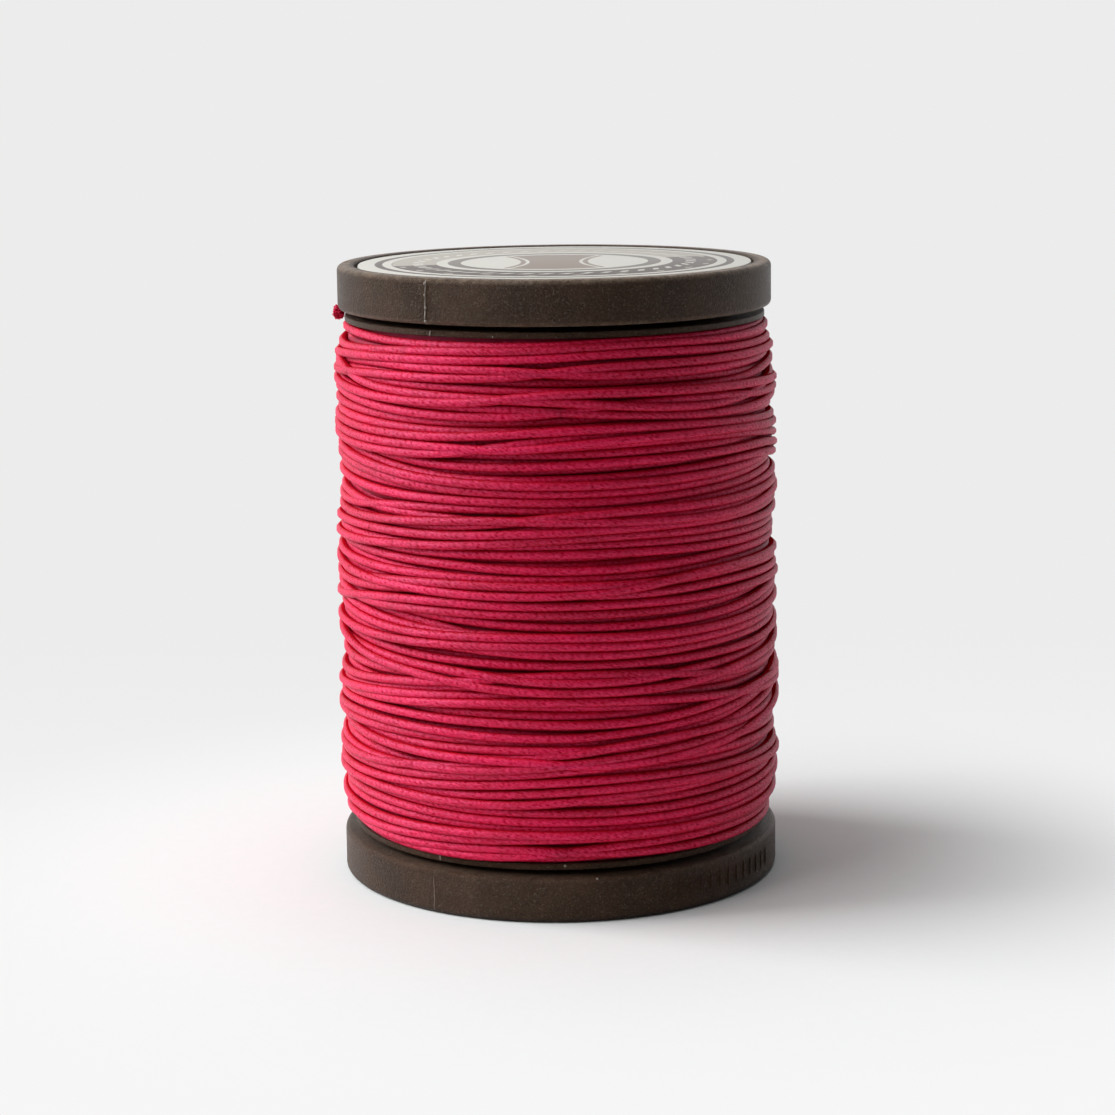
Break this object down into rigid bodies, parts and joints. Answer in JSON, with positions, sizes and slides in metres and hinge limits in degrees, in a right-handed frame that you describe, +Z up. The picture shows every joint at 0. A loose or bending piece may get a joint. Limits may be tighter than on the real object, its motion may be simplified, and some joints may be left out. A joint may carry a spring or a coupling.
{
  "type": "thread and line spool",
  "caption": "Plastic spool with double pinch-groove flanges, wound full with a round braided waxed cord, a printed disc on top and a spindle bore open below.",
  "frame": {"origin": "centre of the bottom rim's resting face, on the spool's axis", "axes": "+Z up along the spool's axis, -Y the front, +X to the right seen from the front"},
  "size_m": [0.0366, 0.0364, 0.0505],
  "materials": {
    "moulded_plastic": "fine satin moulded surface, dark brown",
    "label_print": "satin printed stock",
    "waxed_cord": "braided and waxed, soft sheen"
  },
  "bodies": {
    "root": {"spool_body": "moulded_plastic", "top_label": "label_print", "cord_pack": "waxed_cord", "cord_winding": "waxed_cord", "cord_tail": "waxed_cord"}
  },
  "joints": []
}
